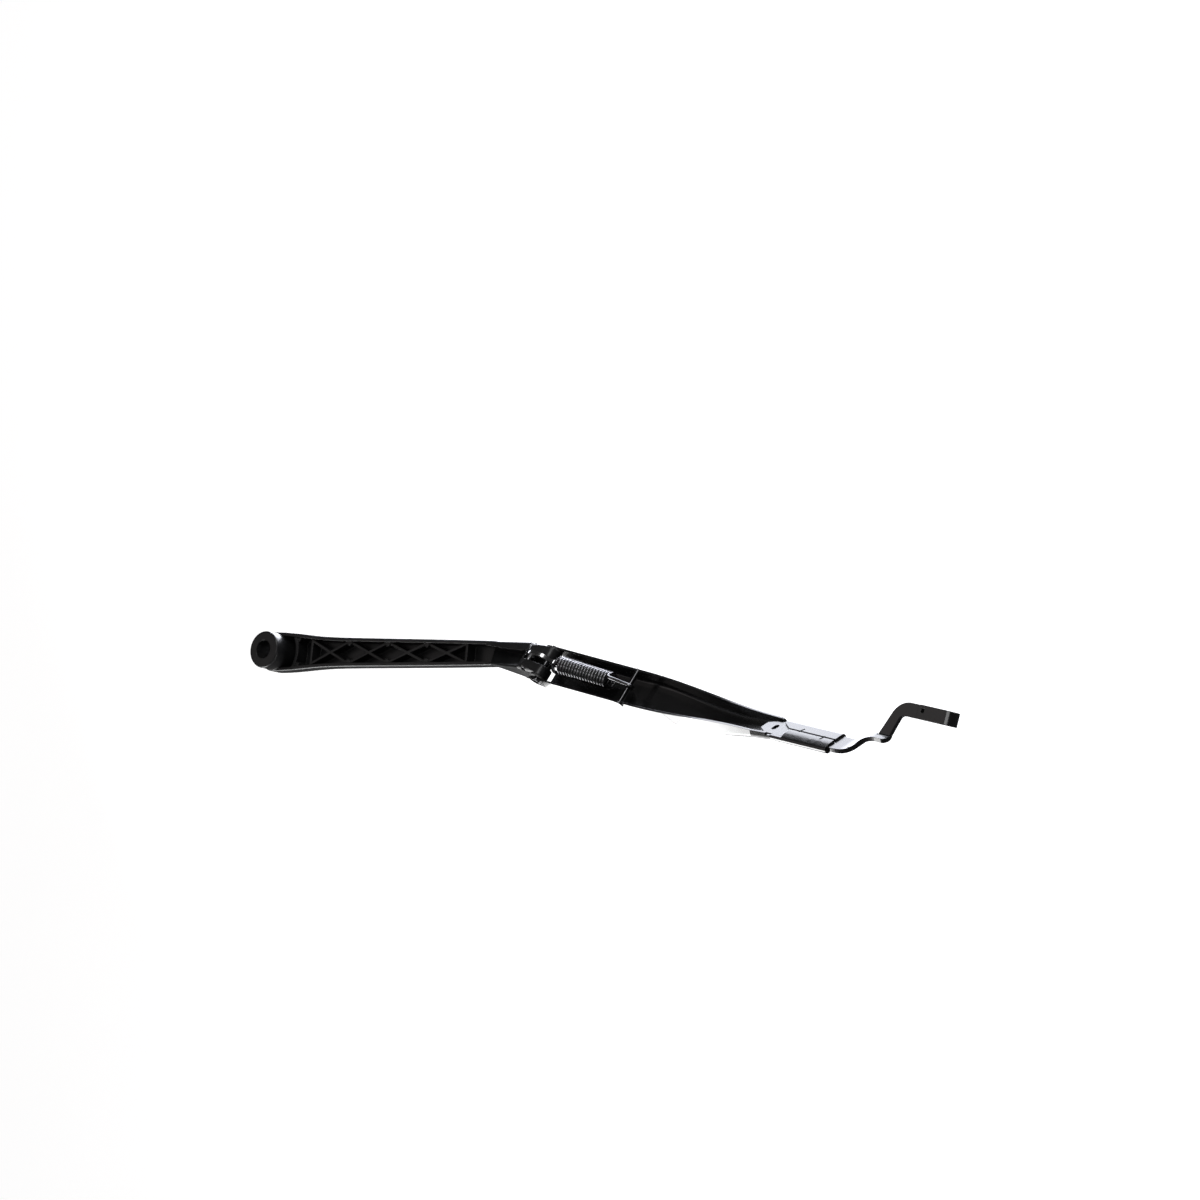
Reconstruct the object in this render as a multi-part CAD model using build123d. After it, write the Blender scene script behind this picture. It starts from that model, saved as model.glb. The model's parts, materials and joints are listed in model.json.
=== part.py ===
import os
from math import atan2, cos, degrees, hypot, pi, radians, sin, tan

from build123d import *

os.makedirs("parts", exist_ok=True)

# Millimetres. The origin is the mouth of the spindle bore, +X runs along the head and +Z points to the glass.

# Cast head
boss_r = 13.0
bore_r = 6.5
bore_land = 4.0
bore_throat_r = 5.0
bore_throat_z = -15.0
stud_hole_r = 4.2
nut_recess_r = 9.5
nut_recess_depth = 5.0
head_back_z = -24.0
head_rim_z = -11.0
head_wall = 2.6
head_floor = 2.4
head_back_round = 3.0
head_rim_round = 1.2
head_widths = [(0, 13.8), (45, 10.9), (67, 10.2), (110, 9.65), (155, 9.1), (200, 8.3)]
cavity_end_x = 192.0
rib_t = 1.8
rib_pitch = 35.0
rib_count = 4
rib_first_x = 51.0
rib_drop = 2.2
pad_r = 2.2
collar_r = 21.0
collar_t = 2.4

# Hinge frame: the channel leaves the head at a bend in plan, a pitch to the glass and a roll
channel_origin = (242.1, -6.1, -6.0)
channel_bend = 11.5
channel_pitch = 6.0
channel_roll = 23.0
hinge_u = 6.5
hinge_m = -1.5
hinge_pin_r = 2.5
hinge_head_r = 3.4
hinge_head_t = 1.0
hinge_running = 0.05
lug_r = 6.3
lug_back_u = -9.5
lug_top_m = 5.0
lug_bottom_m = -8.5
ramp_start_z = -19.0
ramp_foot_m = -4.0
ramp_rim = 2.0
lug_round = 4.5
lug_eye = 1.2
slot_half = 3.4
slot_floor_m = -4.6
bush_r = 3.9
bush_flange_r = 5.8
bush_flange_t = 1.0
bush_gap = 0.3

# Pressed channel
sheet_t = 1.4
channel_half = 11.8
channel_depth = 13.4
channel_round = 3.4
base_start_u = 8.0
straight_end_u = 95.0
fold_end = (270.7, 0.9, 2.7)
fold_twist = 30.7
fold_pitch = 1.6
fold_length = 38.4
fold_half = 10.0
seam_gap = 1.3
nick_width = 1.5
flap_crown = 8.0
flare_length = 24.0
flare_half = 10.9
flare_lip = 0.6
flare_shift = -1.2
notch_length = 12.0
wall_round = 3.0
flap_lead = 9.0
flap_reach = 5.3

# Spring gear
anchor_u = -4.0
anchor_m = 4.4
anchor_r = 1.8
anchor_inset = 1.2
link_chord = 22.0
link_arch = 8.5
link_width = 2.6
link_t = 2.4
link_eye_r = 3.8
link_hole_r = 2.5
spring_pin_u = 85.9
spring_pin_m = -1.2
spring_pin_r = 1.8
spring_head_r = 3.3
spring_head_t = 0.9
wire_r = 1.2
coil_r = 5.0
coil_turns = 17
hook_reach = 16.2
wire_bend = 2.5
hook_gap = 0.3

# Flat bar and hook
bar_t = 3.0
bar_half = 7.4
tongue_length = 61.0
tongue_hole = (6.0, 3.4)
joggle_start = 9.0
joggle_length = 25.0
joggle_rise = 9.3
neck_low = 1.2
neck_high = 4.7
neck_relief = 1.0
crank_x = 35.0
crank_bend = 53.0
crank_bend_r = 2.0
riser_left = -0.9
riser_right = 7.7
riser_left_lean = 25.5
riser_right_lean = 20.0
hook_width = 8.8
hook_offset = 17.6
hook_start = 53.0
hook_inner_r = 3.0
hook_leg = 20.5
turn_outer_r = 15.0
turn_inner_r = 4.0


def half_width(x):
    for (x0, w0), (x1, w1) in zip(head_widths, head_widths[1:]):
        if x0 <= x <= x1:
            return w0 + (w1 - w0) * (x - x0) / (x1 - x0)
    return head_widths[-1][1]


def head_outline(inset):
    upper = [(x, w - inset) for x, w in head_widths]
    lower = [(x, -y) for x, y in reversed(upper)]
    nose = upper[0][1]
    return make_face(
        Spline(*upper, tangents=((1, 0), (1, -0.02)))
        + Line(upper[-1], lower[0])
        + Spline(*lower, tangents=((-1, -0.02), (-1, 0)))
        + ThreePointArc(lower[-1], (-nose, 0), upper[0])
    )


def standing(sketch, low, high):
    return Pos(0, 0, low) * extrude(sketch, amount=high - low)


def rod(u, m, r, v0, v1):
    return Pos(u, (v0 + v1) / 2, m) * Rot(90, 0, 0) * Cylinder(r, v1 - v0)


def across(sketch):
    return Plane.YZ * sketch


def side_on(sketch, half):
    return extrude(Plane.XZ * sketch, amount=half, both=True)


def ease(t):
    return t * t * (3 - 2 * t)


# Placements of the channel, of the folded end within it and of the spring line between its two ends
channel_at = (
    Pos(*channel_origin) * Rot(0, 0, -channel_bend) * Rot(0, -channel_pitch, 0) * Rot(-channel_roll, 0, 0)
)
fold_in = Pos(*fold_end) * Rot(-fold_twist, 0, 0) * Rot(0, -fold_pitch, 0)
spring_run = hypot(spring_pin_u - anchor_u, spring_pin_m - anchor_m)
spring_dip = degrees(atan2(anchor_m - spring_pin_m, spring_pin_u - anchor_u))
spring_in = Pos(anchor_u, 0, anchor_m) * Rot(0, spring_dip, 0)

# Head shell: round end, open towards the glass, with the lattice of crossed ribs
floor_z = head_back_z + head_floor
inner = head_outline(head_wall)
shell = standing(head_outline(0), head_back_z, head_rim_z)
back_edges = shell.edges().group_by(Axis.Z)[0].sort_by(Axis.X)[:-1]
shell = fillet(back_edges, head_back_round)
rim_edges = shell.edges().group_by(Axis.Z)[-1].sort_by(Axis.X)[:-1]
shell = fillet(rim_edges, head_rim_round)
cavity_plan = inner & (Pos(cavity_end_x / 2, 0) * Rectangle(cavity_end_x, 4 * boss_r))
lattice = Sketch()
nodes_x = [rib_first_x + rib_pitch * i for i in range(rib_count)]
for x in nodes_x:
    lean = degrees(atan2(2 * (half_width(x) - head_wall), rib_pitch))
    bay = Pos(x, 0) * Rectangle(rib_pitch, 4 * boss_r)
    for turn in (lean, -lean):
        lattice += bay & (Pos(x, 0) * Rot(0, 0, turn) * Rectangle(2 * rib_pitch, rib_t))
for x in (rib_first_x - rib_pitch / 2, nodes_x[-1] + rib_pitch / 2):
    lattice += Pos(x, 0) * Rectangle(rib_t, 4 * boss_r)
collar = Circle(collar_r + collar_t / 2) - Circle(collar_r - collar_t / 2)
pads = Sketch()
for x in [x + rib_pitch / 2 for x in nodes_x[:-1]] + [collar_r]:
    for side in (1, -1):
        pads += Pos(x, side * (half_width(x) - head_wall - 0.6)) * Circle(pad_r)
ribs = standing(cavity_plan & lattice, floor_z - 0.4, head_rim_z - rib_drop)
ribs += standing(cavity_plan & collar, floor_z - 0.4, head_rim_z - 0.8)
ribs += standing(cavity_plan & pads, floor_z - 0.4, head_rim_z - 1.4)
head = shell - standing(cavity_plan, floor_z, 0) + ribs

# Spindle boss with its lead-in land, taper, stud hole and nut recess
boss = standing(Circle(boss_r), head_back_z, 0)
boss = fillet(boss.edges().group_by(Axis.Z)[-1], 1.6)
land_low = -bore_land
taper = Pos(0, 0, (land_low + bore_throat_z) / 2) * Cone(bore_throat_r, bore_r, land_low - bore_throat_z)
bore = standing(Circle(bore_r), land_low, 0) + taper + standing(Circle(stud_hole_r), head_back_z, 0)
bore += standing(Circle(nut_recess_r), head_back_z, head_back_z + nut_recess_depth)
head = head + boss - bore

# Neck, lofted from the end of the head to the rolled lug, with the ramped recess
lug_half = channel_half - bush_flange_t - bush_gap
end_x = head_widths[-1][0]
end_half = head_widths[-1][1]
head_mid_z = (head_rim_z + head_back_z) / 2
lug_mid_m = (lug_top_m + lug_bottom_m) / 2
lug_depth = lug_top_m - lug_bottom_m
head_end = across(RectangleRounded(2 * end_half, head_rim_z - head_back_z, 2))
lug_end = across(RectangleRounded(2 * lug_half, lug_depth, 1.5))
head += loft([Pos(end_x - 4, 0, head_mid_z) * head_end, channel_at * Pos(lug_back_u, 0, lug_mid_m) * lug_end])
mouth_half = end_half - head_wall
mouth = Polyline(
    (-mouth_half, 0), (-mouth_half, ramp_start_z), (mouth_half, floor_z), (mouth_half, 0), close=True
)
ramp = Polyline(
    (-lug_half + ramp_rim, lug_top_m + 6), (-lug_half + ramp_rim, lug_top_m - ramp_rim),
    (slot_half, ramp_foot_m), (slot_half, lug_top_m + 6), close=True
)
mouth = Pos(cavity_end_x - 4, 0, 0) * across(make_face(mouth))
ramp = channel_at * Pos(lug_back_u + 1, 0, 0) * across(make_face(ramp))
head -= loft([mouth, ramp], ruled=True)

# Forked hinge lug
lug_side = make_hull(
    (
        Pos(hinge_u, hinge_m) * Circle(lug_r)
        + Pos(anchor_u, anchor_m) * Circle(anchor_r + lug_eye)
        + Pos(lug_back_u, lug_mid_m) * Rectangle(1, lug_depth)
    ).edges()
)
wide = 2 * channel_half
lug_crown_m = anchor_m + anchor_r + lug_eye
lug_section = Pos(0, lug_crown_m - wide / 2) * Rectangle(2 * lug_half, wide)
lug_section = fillet(lug_section.vertices().group_by(Axis.Y)[-1], lug_round)
lug = side_on(lug_side, lug_half) & (Pos(-wide, 0, 0) * extrude(across(lug_section), amount=2 * wide))
slot = Pos(lug_back_u + 1 + wide / 2, 0, slot_floor_m + wide / 2) * Box(wide, 2 * slot_half, wide)
slot += Pos(hinge_u + wide / 2, 0, 0) * Box(wide, 2 * slot_half, 2 * wide)
lug -= rod(hinge_u, hinge_m, bush_r, -wide, wide) + rod(anchor_u, anchor_m, anchor_r, -wide, wide) + slot
head = head - channel_at * slot + channel_at * lug
head = head - channel_at * (rod(anchor_u, anchor_m, anchor_r, -wide, wide))

# Hinge bushes, link anchor, and the hinge and spring pins: a head on one side, riveted flush on the other
ear_out = channel_half + sheet_t
bushes = []
for side in (1, -1):
    sleeve = rod(hinge_u, hinge_m, bush_r, *sorted((side * slot_half, side * lug_half)))
    flange_at = sorted((side * lug_half, side * (lug_half + bush_flange_t)))
    flange = rod(hinge_u, hinge_m, bush_flange_r, *flange_at)
    bushes.append(sleeve + flange - rod(hinge_u, hinge_m, hinge_pin_r + hinge_running, -wide, wide))
hinge_pin = rod(hinge_u, hinge_m, hinge_pin_r, -ear_out, ear_out)
hinge_pin += rod(hinge_u, hinge_m, hinge_head_r, -ear_out - hinge_head_t, -ear_out)
hinge_pin = fillet(hinge_pin.edges().group_by(Axis.Y)[0], 0.7)
anchor_half = lug_half - anchor_inset
anchor = rod(anchor_u, anchor_m, anchor_r, -anchor_half, anchor_half)
spring_pin = rod(spring_pin_u, spring_pin_m, spring_pin_r, -ear_out, ear_out)
spring_pin += rod(spring_pin_u, spring_pin_m, spring_head_r, -ear_out - spring_head_t, -ear_out)
spring_pin = fillet(spring_pin.edges().group_by(Axis.Y)[0], 0.6)


def u_section(half, depth):
    out = half + sheet_t
    profile = make_face(
        Polyline(
            (-out, 0), (-out, -depth), (out, -depth), (out, 0),
            (half, 0), (half, sheet_t - depth), (-half, sheet_t - depth), (-half, 0),
            close=True,
        )
    )
    profile = fillet([c for c in profile.vertices() if abs(c.Y + depth) < 1e-4], channel_round)
    corners = [c for c in profile.vertices() if abs(c.Y + depth - sheet_t) < 1e-4]
    return fillet(corners, channel_round - sheet_t)


# Channel: straight at the spring, then narrowing and twisting down to the fold round the bar
fold_t = bar_t + 2 * sheet_t
channel = extrude(across(u_section(channel_half, channel_depth)), amount=straight_end_u)
flare_at = fold_in * Pos(-fold_length - flare_length, flare_shift, flare_lip)
flare_depth = fold_t + flare_lip
rest = flare_at.position - Vector(straight_end_u, 0, 0)
stations = []
for part in (0, 0.22, 0.45, 0.7, 0.88):
    k = ease(part)
    half = channel_half + (flare_half - sheet_t - channel_half) * k
    depth = channel_depth + (flare_depth - channel_depth) * part**3
    place = Pos(straight_end_u + rest.X * part, rest.Y * k, rest.Z * k)
    turn = Rot(-fold_twist * k, -fold_pitch * part, 0)
    stations.append(place * turn * across(u_section(half, depth)))
flare = flare_at * across(u_section(flare_half - sheet_t, flare_depth))
flap_start = -fold_length - flap_lead
throat = fold_in * Pos(flap_start, 0, 0) * across(u_section(fold_half - sheet_t, fold_t))
channel += loft(stations + [flare])
channel += loft([flare, throat], ruled=True)

# Folded flaps with their seam, the two staggered nicks in it and the notch where they leave the walls
fold_r = fold_t / 2
crown_y = flap_crown - fold_half
crown_mid = (crown_y - flap_crown * cos(pi / 4), fold_r * sin(pi / 4))
fold_ring = make_face(
    Line((crown_y, fold_r), (fold_half - fold_r, fold_r))
    + ThreePointArc((fold_half - fold_r, fold_r), (fold_half, 0), (fold_half - fold_r, -fold_r))
    + Line((fold_half - fold_r, -fold_r), (fold_r - fold_half, -fold_r))
    + RadiusArc((fold_r - fold_half, -fold_r), (-fold_half, 0), fold_r)
    + Spline((-fold_half, 0), crown_mid, (crown_y, fold_r), tangents=((0, 1), (1, 0)))
)
fold_ring -= Rectangle(2 * bar_half, bar_t)
fold_ring -= Pos(0, fold_t / 2) * Rectangle(seam_gap, fold_t)
fold = extrude(Pos(flap_start, 0, -fold_t / 2) * across(fold_ring), amount=-flap_start)
for x, y in ((-0.76 * fold_length, 1.2), (-0.24 * fold_length, -1.2)):
    fold -= Pos(x, y, 0) * Rot(0, 0, -20) * Box(nick_width, 4.4, 2 * sheet_t)
wall_end = -fold_length - notch_length
clear_y = 3 * fold_half
notch = make_face(
    Polyline(
        (wall_end, -clear_y), (-fold_length, -clear_y), (-fold_length, 0),
        (flap_start, flap_reach), (flap_start, clear_y), (wall_end, clear_y),
        close=True,
    )
)
wall_corner = Pos(wall_end, 0) * Rectangle(2 * wall_round, 2 * wall_round)
wall_corner -= Pos(wall_end - wall_round, -wall_round) * Circle(wall_round)
wall_corner -= Pos(wall_end - 2 * wall_round, 0) * Rectangle(2 * wall_round, 4 * wall_round)
channel = channel + fold_in * fold - fold_in * standing(notch, -sheet_t, 20)
channel -= fold_in * Pos(0, 2 * fold_half, 0) * side_on(wall_corner, 1.6 * fold_half)

# Ears: the base is cut away at the hinge and the back corner is rounded about the pin
ear_r = hinge_u
channel -= Pos(base_start_u / 2 - 5, 0, -channel_depth) * Box(base_start_u + 10, 2 * channel_half, 10)
corner = Pos(hinge_u / 2 - 10, hinge_m - 20) * Rectangle(hinge_u + 20, 40)
corner -= Pos(hinge_u, hinge_m) * Circle(ear_r)
under_pin = base_start_u - hinge_u
corner += Pos(hinge_u + under_pin / 2, hinge_m - ear_r - 20) * Rectangle(under_pin, 40)
channel -= side_on(corner, wide)
channel -= rod(hinge_u, hinge_m, hinge_pin_r, -wide, wide)
channel -= rod(spring_pin_u, spring_pin_m, spring_pin_r, -wide, wide)

# Link: an arched plate with an eye at each end, on the line from the anchor to the spring pin
bow = ThreePointArc((0, 0), (link_chord / 2, link_arch), (link_chord, 0))
link_side = trace(bow, link_width) + Circle(link_eye_r) + Pos(link_chord, 0) * Circle(link_eye_r)
link_side -= Circle(anchor_r + hinge_running) + Pos(link_chord, 0) * Circle(link_hole_r)
link = side_on(link_side, link_t / 2)

# Extension spring: a loop through the link's eye, the coils and a long hook round the spring pin
def bent_out(way, slope):
    aside = Vector(0, way, 0)
    out = Vector(0, 0, way)
    middle = Vector(coil_r, 0, 0) + wire_bend * (out * cos(slope) - aside * sin(slope))
    turn = slope - pi / 2
    steps = [middle + wire_bend * (aside * cos(a) + out * sin(a)) for a in (turn, turn / 2, 0)]
    return ThreePointArc(*steps)


def wire_along(line):
    return sweep(Plane(line @ 0, z_dir=line % 0) * Circle(wire_r), path=line)


close_slope = 2 * wire_r / (2 * pi * coil_r)
loop_lean = atan2(wire_bend * (1 - sin(close_slope)), coil_r)
loop_r = coil_r / cos(loop_lean)
coil_start = link_chord + loop_r + wire_bend * cos(close_slope)
coil_length = spring_run - hook_reach - coil_start
turns = coil_turns + 0.25 - loop_lean / pi
coil_pitch = coil_length / turns
slope = atan2(coil_pitch, 2 * pi * coil_r)
winding = Helix(coil_pitch, coil_length, coil_r)
spring = sweep(Plane(winding @ 0, z_dir=winding % 0) * Circle(wire_r), path=winding, is_frenet=True)
foot = bent_out(-1, slope)
side = foot @ 1
spring += wire_along(foot + ThreePointArc(side, (0, 0, side.Z - loop_r), (-side.X, -side.Y, side.Z)))
foot = bent_out(1, slope)
side = foot @ 1
bow_r = spring_pin_r + hook_gap + wire_r
bow = Vector(side.X, side.Y, 0).normalized() * bow_r
beside_pin = Vector(0, 0, hook_reach) + bow
leg = Spline(side, beside_pin, tangents=((0, 0, 1), (0, 0, 1)))
round_pin = ThreePointArc(beside_pin, (0, 0, hook_reach + bow_r), Vector(0, 0, hook_reach) - bow)
spring += Pos(0, 0, coil_length) * Rot(0, 0, 360 * turns) * wire_along(foot + leg + round_pin)
spring = Pos(coil_start, 0, 0) * (Plane.YZ * (Rot(0, 0, degrees(loop_lean)) * spring))

# Bar: tongue in the fold, joggle to the glass, narrowed neck
bar_mid_z = -sheet_t - bar_t / 2
crank_left = crank_x + riser_left
crank_right = crank_x + riser_right
joggle_half_angle = atan2(joggle_rise, joggle_length)
joggle_angle = degrees(2 * joggle_half_angle)
joggle_r = joggle_length / (2 * sin(2 * joggle_half_angle))
flat = Line((-tongue_length, bar_mid_z), (joggle_start, bar_mid_z))
up = JernArc(flat @ 1, (1, 0), joggle_r, joggle_angle)
level = JernArc(up @ 1, up % 1, joggle_r, -joggle_angle)
neck_z = (level @ 1).Y
ahead = Line(level @ 1, (crank_right, neck_z))
bar = side_on(trace(flat + up + level + ahead, bar_t), 3 * bar_half)
shoulder = joggle_start - 6
corner_r = neck_high - neck_low
corner_mid = (crank_right - 0.3 * corner_r, neck_high - 0.7 * corner_r)
relief_x = crank_left - neck_relief
tip_x = -tongue_length
plan = make_face(
    Polyline(
        (shoulder, -bar_half), (tip_x + 7, -bar_half), (tip_x, -bar_half + 4), (tip_x, bar_half - 4),
        (tip_x + 7, bar_half), (relief_x, bar_half), (relief_x, neck_high), (crank_right, neck_high),
    )
    + ThreePointArc((crank_right, neck_high), corner_mid, (crank_right - corner_r, neck_low))
    + Line((crank_right - corner_r, neck_low), (crank_left, neck_low))
    + Spline((crank_left, neck_low), (shoulder, -bar_half), tangents=((-1, 0), (-1, 0)))
)
plan = fillet(plan.vertices().sort_by_distance((relief_x, bar_half))[0], 2)
bar &= standing(plan, -40, 40)
oblong = extrude(SlotOverall(*tongue_hole), amount=10, both=True)
bar -= Pos(tip_x + 9.6, 0, bar_mid_z) * Rot(0, 0, 90) * oblong

# Crank: a bend along the bar, then the riser that turns into the hook in its own plane
neck_top = neck_z + bar_t / 2
bend_arc = JernArc((neck_high, neck_z), (1, 0), crank_bend_r + bar_t / 2, crank_bend)
bend = Pos(crank_left, 0, 0) * extrude(across(trace(bend_arc, bar_t)), amount=crank_right - crank_left)
bend_end = Vector(
    crank_x,
    neck_high + crank_bend_r * sin(radians(crank_bend)),
    neck_top + crank_bend_r * (1 - cos(radians(crank_bend))),
)
hook_in = Pos(bend_end) * Rot(crank_bend, 0, 0)
hook_low = hook_offset - hook_width / 2
hook_high = hook_offset + hook_width / 2
inner_turn = (riser_right + hook_low * tan(radians(riser_right_lean)), hook_low)
outer_turn = (riser_left + hook_high * tan(radians(riser_left_lean)), hook_high)
riser = make_face(
    Polyline(
        (riser_left, 0), (riser_right, 0), inner_turn,
        (hook_start, hook_low), (hook_start, hook_high), outer_turn,
        close=True,
    )
)
riser = fillet(riser.vertices().sort_by_distance(inner_turn)[0], turn_inner_r)
riser = fillet(riser.vertices().sort_by_distance(outer_turn)[0], turn_outer_r)
hook = standing(riser, -bar_t, 0)
strip = Pos(hook_start, hook_offset, -bar_t / 2) * across(Rectangle(hook_width, bar_t))
hook_axis = Axis((hook_start, 0, hook_inner_r), (0, -1, 0))
hook += revolve(strip, hook_axis, 180)
leg = Rectangle(hook_leg, hook_width)
leg = fillet(leg.vertices().group_by(Axis.X)[0], 2)
leg -= Pos(-hook_leg / 2 + 4, 1) * Rectangle(2.6, 2.8)
leg_low = 2 * hook_inner_r
hook += Pos(hook_start - hook_leg / 2, hook_offset, 0) * standing(leg, leg_low, leg_low + bar_t)
bar += bend + hook_in * hook

nodes = {
    "arm_head": head,
    "hinge_bush_upper": channel_at * bushes[0],
    "hinge_bush_lower": channel_at * bushes[1],
    "spring_anchor": channel_at * anchor,
    "hinge_pin": channel_at * hinge_pin,
    "arm_channel": channel_at * channel,
    "spring_pin": channel_at * spring_pin,
    "spring_link": channel_at * spring_in * link,
    "arm_spring": channel_at * spring_in * spring,
    "arm_bar": channel_at * fold_in * bar,
}
for name, shape in nodes.items():
    export_step(shape, f"parts/{name}.step")
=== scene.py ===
import json

import bpy
from mathutils import Matrix, Vector


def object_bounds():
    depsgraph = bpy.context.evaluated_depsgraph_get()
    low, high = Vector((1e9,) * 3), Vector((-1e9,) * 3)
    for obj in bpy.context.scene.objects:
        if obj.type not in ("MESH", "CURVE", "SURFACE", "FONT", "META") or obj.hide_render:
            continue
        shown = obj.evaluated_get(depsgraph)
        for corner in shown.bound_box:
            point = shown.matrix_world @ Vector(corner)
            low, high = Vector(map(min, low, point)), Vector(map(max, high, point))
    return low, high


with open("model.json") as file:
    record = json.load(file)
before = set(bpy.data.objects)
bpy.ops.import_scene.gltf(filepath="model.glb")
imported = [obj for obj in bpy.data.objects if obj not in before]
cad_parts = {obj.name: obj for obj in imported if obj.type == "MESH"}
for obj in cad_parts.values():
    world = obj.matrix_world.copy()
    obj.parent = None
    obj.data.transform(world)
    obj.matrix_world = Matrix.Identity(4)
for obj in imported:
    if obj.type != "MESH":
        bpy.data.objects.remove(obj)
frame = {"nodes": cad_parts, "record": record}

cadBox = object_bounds()
print("frame loaded,", len(frame["nodes"]), "nodes")


class Socket:  # an output socket, so that shader maths reads as plain sums
    def __init__(self, paint, plug):
        self.paint = paint
        self.plug = plug

    def math(self, operation, first, second):
        return self.paint.node("ShaderNodeMath", {"operation": operation}, {0: first, 1: second})

    def __add__(self, other):
        return self.math("ADD", self, other)

    __radd__ = __add__

    def __sub__(self, other):
        return self.math("SUBTRACT", self, other)

    def __rsub__(self, other):
        return self.math("SUBTRACT", other, self)

    def __mul__(self, other):
        return self.math("MULTIPLY", self, other)

    __rmul__ = __mul__


class Paint:  # one material and the nodes in it
    def __init__(self, name):
        self.material = bpy.data.materials.new(name)
        self.material.use_nodes = True
        self.tree = self.material.node_tree
        self.tree.nodes.clear()
        self.place = self.node("ShaderNodeTexCoord", {}, {}, "Object")

    def node(self, kind, settings, inputs, output=0):
        made = self.tree.nodes.new(kind)
        for key, setting in settings.items():
            if key == "stops":
                for stop, (position, grey) in zip(made.color_ramp.elements, setting):
                    stop.position = position
                    stop.color = (grey, grey, grey, 1)
            else:
                setattr(made, key, setting)
        for key, value in inputs.items():
            if isinstance(value, Socket):
                self.tree.links.new(value.plug, made.inputs[key])
            else:
                made.inputs[key].default_value = value
        return Socket(self, made.outputs[output]) if made.outputs else None

    def noise(self, scale, detail=2.0, rough=0.5):  # scale in waves per metre
        inputs = {"Vector": self.place, "Scale": scale, "Detail": detail, "Roughness": rough}
        return self.node("ShaderNodeTexNoise", {}, inputs, "Fac")

    def ramp(self, factor, low, high):
        stops = ((low, 0.0), (high, 1.0))
        return self.node("ShaderNodeValToRGB", {"stops": stops}, {"Fac": factor})

    def blend(self, factor, first, second):
        settings = {"data_type": "RGBA"}
        return self.node("ShaderNodeMix", settings, {0: factor, 6: (*first, 1), 7: (*second, 1)}, 2)

    def bump(self, height, depth, strength, normal=None):
        inputs = {"Height": height, "Distance": depth, "Strength": strength}
        if normal:
            inputs["Normal"] = normal
        return self.node("ShaderNodeBump", {}, inputs)

    def finish(self, inputs):
        shader = self.node("ShaderNodeBsdfPrincipled", {}, inputs)
        self.node("ShaderNodeOutputMaterial", {}, {"Surface": shader})
        return self.material


castPaint = {  # satin, on the cast head
    "black": (0.0065, 0.0065, 0.0070),
    "thinner": (0.0150, 0.0148, 0.0150),  # where the paint lies thin over the casting
    "rough": 0.28,
    "roughSpread": 0.12,
    "grain": 900.0,  # casting grain through the paint
    "peel": 320.0,  # orange peel of the paint itself
    "grainDepth": 0.00006,
    "edge": 0.0009,  # how far sharp edges look rounded
    "crevice": 0.002,  # how far from a corner the paint dulls
    "coat": 0.05,
    "gloss": 0.28,
}
pressPaint = {  # gloss, on the pressed channel and the bar
    "black": (0.0045, 0.0045, 0.0048),
    "thinner": (0.0085, 0.0085, 0.0088),
    "rough": 0.19,
    "roughSpread": 0.08,
    "grain": 1400.0,
    "peel": 260.0,
    "grainDepth": 0.00003,
    "edge": 0.0004,
    "crevice": 0.003,
    "coat": 0.35,
    "gloss": 0.5,
}
spray = {  # what both paints share
    "cloud": 45.0,
    "thinAt": (0.46, 0.72),
    "bump": 0.35,
    "dullAt": (0.3, 0.7),  # from a closed corner to an open face
    "dullRough": 0.6,
    "coatRough": 0.05,
    "samples": 6,
}


def blackPaint(name, look):
    paint = Paint(name)
    samples = {"samples": spray["samples"]}
    cloud = paint.noise(spray["cloud"], 3.0)
    grain = paint.noise(look["grain"], 2.0)
    peel = paint.noise(look["peel"], 1.0)
    thin = paint.ramp(cloud * 0.7 + grain * 0.3, *spray["thinAt"])
    rough = look["rough"] + look["roughSpread"] * (0.6 * cloud + 0.4 * grain)
    rounded = paint.node("ShaderNodeBevel", samples, {"Radius": look["edge"]})
    openness = paint.node("ShaderNodeAmbientOcclusion", samples, {"Distance": look["crevice"]}, "AO")
    dulled = 1 - paint.ramp(openness, *spray["dullAt"])  # the spray lies dull in seams and corners
    height = 0.6 * peel + 0.4 * grain
    return paint.finish({
        "Base Color": paint.blend(thin, look["black"], look["thinner"]),
        "Roughness": rough + spray["dullRough"] * dulled,
        "Normal": paint.bump(height, look["grainDepth"], spray["bump"], rounded),
        "Coat Weight": look["coat"] * (1 - dulled),
        "Coat Roughness": spray["coatRough"],
        "Specular IOR Level": look["gloss"],
    })


wireFinish = {"dark": (0.10, 0.10, 0.104), "bright": (0.20, 0.20, 0.208), "rough": 0.20}
pinFinish = {"dark": (0.05, 0.05, 0.052), "bright": (0.11, 0.11, 0.115), "rough": 0.10}
linkFinish = {"dark": (0.22, 0.22, 0.224), "bright": (0.36, 0.36, 0.365), "rough": 0.16}
zincFinish = {"dark": (0.24, 0.24, 0.25), "bright": (0.42, 0.42, 0.43), "rough": 0.3}
wear = {  # what the bare metals share
    "mottle": 160.0,
    "scuff": 1500.0,
    "wornAt": (0.42, 0.68),
    "roughSpread": 0.06,
    "scuffDepth": 0.00002,
    "bump": 0.3,
}


def darkSteel(name, look):
    paint = Paint(name)
    mottle = paint.noise(wear["mottle"], 4.0, 0.6)
    scuff = paint.noise(wear["scuff"], 2.0)
    worn = paint.ramp(0.65 * mottle + 0.35 * scuff, *wear["wornAt"])
    return paint.finish({
        "Base Color": paint.blend(worn, look["dark"], look["bright"]),
        "Metallic": 1.0,
        "Roughness": look["rough"] + wear["roughSpread"] * mottle,
        "Normal": paint.bump(scuff, wear["scuffDepth"], wear["bump"]),
    })


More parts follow.
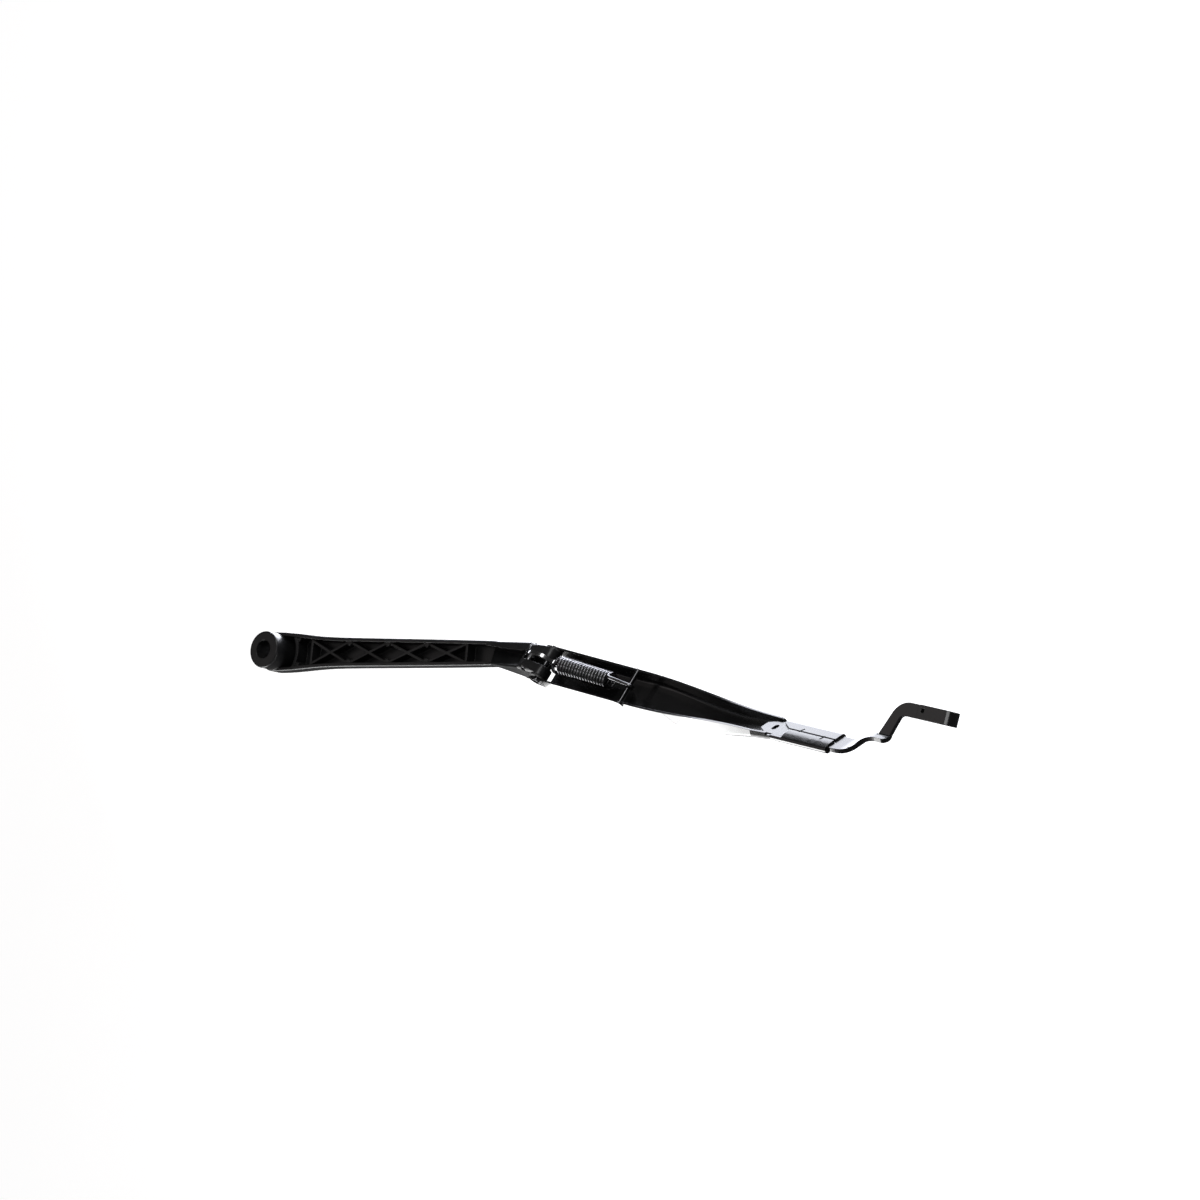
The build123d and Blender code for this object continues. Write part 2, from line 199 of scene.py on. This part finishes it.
bushFinish = {
    "dark": (0.012, 0.012, 0.012),
    "bright": (0.024, 0.024, 0.024),
    "cloud": 220.0,
    "rough": 0.5,
    "roughSpread": 0.12,
    "spark": 2200.0,  # spark-eroded mould texture
    "sparkDepth": 0.00002,
    "bump": 0.4,
}


def mouldedPlastic(name, look):
    paint = Paint(name)
    spark = paint.noise(look["spark"], 1.0)
    cloud = paint.noise(look["cloud"], 2.0)
    return paint.finish({
        "Base Color": paint.blend(cloud, look["dark"], look["bright"]),
        "Roughness": look["rough"] + look["roughSpread"] * spark,
        "Normal": paint.bump(spark, look["sparkDepth"], look["bump"]),
    })


finishes = {
    "black_casting": blackPaint("blackCasting", castPaint),
    "black_pressing": blackPaint("blackPressing", pressPaint),
    "black_steel": darkSteel("pinSteel", pinFinish),
    "plated_steel": darkSteel("zincPlate", zincFinish),
    "link_steel": darkSteel("linkSteel", linkFinish),
    "spring_steel": darkSteel("springWire", wireFinish),
    "bush_plastic": mouldedPlastic("bushPlastic", bushFinish),
}
for part in frame["record"]["subparts"]:
    mesh = frame["nodes"][part["node"]].data
    mesh.materials.clear()
    mesh.materials.append(finishes[part["material_slot"]])
print("finishes on,", len(finishes))


table = {
    "size": 12.0,
    "middle": (0.3, 0.0),
    "drop": 0.38,  # far enough down for the lifted arm to stay above it
    "white": (0.60, 0.60, 0.60),
    "paler": (0.62, 0.62, 0.62),
    "speckle": 40.0,
    "rough": 0.7,
    "roughSpread": 0.05,
    "glow": 0.77,
}
bpy.ops.object.select_all(action="DESELECT")
tableSpot = (*table["middle"], cadBox[0].z - table["drop"])
bpy.ops.mesh.primitive_plane_add(size=table["size"], location=tableSpot)
floor = bpy.context.active_object
floor.name = "paleTable"
tableTop = Paint("paleTable")
speckle = tableTop.noise(table["speckle"])
floor.data.materials.append(tableTop.finish({
    "Base Color": tableTop.blend(speckle, table["white"], table["paler"]),
    "Roughness": table["rough"] + table["roughSpread"] * speckle,
    "Emission Color": (1, 1, 1, 1),
    "Emission Strength": table["glow"],
}))
floor.visible_glossy = False  # the gloss paint mirrors the lamps and not the table

studio = {"ambient": 0.06}
world = bpy.data.worlds.new("studio")
world.use_nodes = True
backdrop = world.node_tree.nodes["Background"].inputs
backdrop["Color"].default_value = (1, 1, 1, 1)
backdrop["Strength"].default_value = studio["ambient"]
bpy.context.scene.world = world


def hangLamp(name, lamp):  # a flat soft lamp, turned to what it lights
    bpy.ops.object.light_add(type="AREA", location=lamp["place"])
    made = bpy.context.active_object
    made.name = name
    made.data.shape = "RECTANGLE"
    made.data.size, made.data.size_y = lamp["size"]
    made.data.energy = lamp["power"]
    made.data.color = lamp["tint"]
    made.visible_camera = False
    toward = Vector(lamp["aim"]) - Vector(lamp["place"])
    made.rotation_euler = toward.to_track_quat("-Z", "Y").to_euler()


white = (1.0, 1.0, 1.0)
warm = (1.0, 0.93, 0.92)
cool = (0.90, 0.92, 1.0)
lamps = {  # three large soft lamps, then small cards for the gloss faces
    "ceilingPanel": {
        "place": (-1.7, 0.2, 2.6), "aim": (-1.7, 0.2, 0.0),
        "size": (3.2, 3.2), "power": 14.0, "tint": warm,
    },
    "overheadStrip": {
        "place": (0.97, 0.0, 2.2), "aim": (0.6, 0.0, 0.0),
        "size": (0.5, 1.4), "power": 8.5, "tint": white,
    },
    "sideStrip": {
        "place": (0.80, 1.21, 1.09), "aim": (0.28, 0.0, 0.0),
        "size": (0.5, 1.4), "power": 14.0, "tint": white,
    },
    "flapCard": {  # folded flaps and the bar's tongue
        "place": (0.285, 0.488, -0.20), "aim": (0.563, 0.043, -0.035),
        "size": (0.86, 0.40), "power": 5.9, "tint": cool,
    },
    "joggleCard": {  # bend of the bar past the flaps
        "place": (0.22, 0.10, -0.28), "aim": (0.53, -0.03, 0.02),
        "size": (0.24, 0.20), "power": 0.55, "tint": cool,
    },
    "bossCard": {  # side of the boss
        "place": (-0.09, 0.18, -0.236), "aim": (0.003, 0.012, -0.005),
        "size": (0.25, 0.16), "power": 1.3, "tint": cool,
    },
    "rimCard": {  # lower rim of the channel and the outside of its twisted wall
        "place": (-0.255, -0.535, -0.024), "aim": (0.45, -0.05, 0.01),
        "size": (0.38, 0.40), "power": 4.8, "tint": white,
    },
    "wallCard": {  # straight lower wall of the channel
        "place": (0.262, -0.08, -0.06), "aim": (0.262, -0.08, 1.0),
        "size": (0.16, 0.07), "power": 0.19, "tint": white,
    },
    "flankCard": {  # where that wall starts to twist
        "place": (0.22, -0.19, -0.06), "aim": (0.22, -0.19, 1.0),
        "size": (0.28, 0.14), "power": 0.62, "tint": white,
    },
}
for name, lamp in lamps.items():
    hangLamp(name, lamp)
bpy.context.scene.view_settings.view_transform = "Standard"
print("table and light set,", len(lamps), "lamps")

shot = {
    "place": (1.9121, -0.2989, 2.0591),
    "ahead": (-0.613, 0.126, -0.780),
    "up": (0.003, 0.988, 0.156),
    "lens": 120.9,
    "sensor": 36.0,
    "clipEnd": 50.0,
}
bpy.ops.object.camera_add()
camera = bpy.context.active_object
camera.name = "photoCamera"
camera.data.lens = shot["lens"]
camera.data.sensor_width = shot["sensor"]
camera.data.clip_end = shot["clipEnd"]
ahead = Vector(shot["ahead"]).normalized()
right = ahead.cross(Vector(shot["up"])).normalized()
up = right.cross(ahead)
turned = Matrix((right, up, -ahead)).transposed().to_4x4()
camera.matrix_world = Matrix.Translation(shot["place"]) @ turned
bpy.context.scene.camera = camera
print("camera set")
